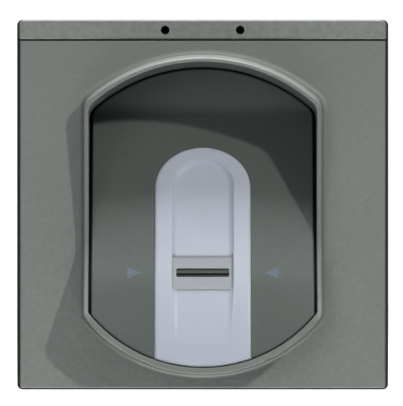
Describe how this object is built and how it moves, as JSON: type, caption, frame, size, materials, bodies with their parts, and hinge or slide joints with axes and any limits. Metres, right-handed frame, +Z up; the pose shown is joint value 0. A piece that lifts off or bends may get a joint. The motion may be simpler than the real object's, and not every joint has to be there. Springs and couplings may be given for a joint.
{
  "type": "fingerprint scanner terminal",
  "caption": "Square wall-mounted swipe fingerprint reader with a hooded finger bay, sloping translucent guide and slim lock strip.",
  "frame": {"origin": "centre of the wall contact plane, behind the middle of the square face", "axes": "+Y into the wall, +Z up, the face looks along -Y, +X to the right as seen from in front"},
  "size_m": [0.1004, 0.0565, 0.1002],
  "materials": {
    "cover_paint": "satin silver-grey paint on moulded plastic, very fine speckle",
    "insert_grey": "satin dark grey moulded plastic",
    "guide_milky": "milky translucent plastic, soft gloss",
    "bezel_milky": "pale grey translucent plastic, satin",
    "marker_blue": "bluish smoked translucent plastic",
    "silicon": "coated silicon strip, smooth",
    "resin": "black sealing resin",
    "rubber_black": "soft black rubber",
    "board_green": "solder mask over glass fibre",
    "part_black": "black moulded plastic",
    "plug_cream": "cream connector plastic",
    "ribbon_film": "amber film with copper tracks",
    "terminal_green": "green terminal plastic",
    "screw_steel": "zinc plated steel",
    "lock_black": "blackened steel",
    "can_aluminium": "plain drawn cans and tinned ends",
    "frame_grey": "light grey glass filled plastic",
    "housing_dark": "fine textured dark grey plastic",
    "light_clear": "clear lamp resin",
    "button_white": "white moulded plastic"
  },
  "bodies": {
    "terminal": {"front_cover": "cover_paint", "top_strip": "cover_paint", "bay_insert": "insert_grey", "finger_guide": "guide_milky", "sensor_bezel": "bezel_milky", "left_marker_window": "marker_blue", "right_marker_window": "marker_blue", "sensor_die": "silicon", "sensor_resin": "resin", "bay_seal": "rubber_black", "wall_seal": "rubber_black", "main_board": "board_green", "sensor_board": "board_green", "sensor_module": "part_black", "processor": "part_black", "memory": "part_black", "inductor": "part_black", "buzzer": "part_black", "tamper_switch": "part_black", "reset_switch": "part_black", "sensor_plug": "plug_cream", "main_plug": "plug_cream", "tamper_plug": "plug_cream", "sensor_ribbon": "ribbon_film", "tamper_ribbon": "ribbon_film", "terminal_block": "terminal_green", "insert_screws": "screw_steel", "sensor_board_screws": "screw_steel", "strip_screws": "screw_steel", "housing_screws": "screw_steel", "board_screws": "screw_steel", "terminal_screws": "screw_steel", "tamper_spring": "screw_steel", "crystal": "can_aluminium", "capacitors": "can_aluminium", "chip_parts": "can_aluminium", "mounting_frame": "frame_grey", "rear_housing": "housing_dark", "marker_lights": "light_clear", "guide_lights": "light_clear"},
    "left_lock": {"left_lock_screw": "lock_black", "left_lock_cam": "screw_steel"},
    "right_lock": {"right_lock_screw": "lock_black", "right_lock_cam": "screw_steel"},
    "tamper": {"tamper_plunger": "button_white"},
    "reset": {"reset_button": "button_white"}
  },
  "joints": [
    {"name": "left_lock_turn", "type": "hinge", "parent": "terminal", "child": "left_lock", "pos_m": [-0.0101, -0.007, 0.047], "axis": [0, 1, 0], "range_deg": [0, 90]},
    {"name": "right_lock_turn", "type": "hinge", "parent": "terminal", "child": "right_lock", "pos_m": [0.0101, -0.007, 0.047], "axis": [0, -1, 0], "range_deg": [0, 90]},
    {"name": "tamper_press", "type": "slide", "parent": "terminal", "child": "tamper", "axis": [0, -1, 0], "range_m": [0, 0.0012], "stiffness_N_per_m": 200, "springref_m": -0.002, "deforming": ["tamper_spring"]},
    {"name": "reset_press", "type": "slide", "parent": "terminal", "child": "reset", "axis": [0, -1, 0], "range_m": [0, 0.0008], "stiffness_N_per_m": 400, "springref_m": -0.001}
  ]
}
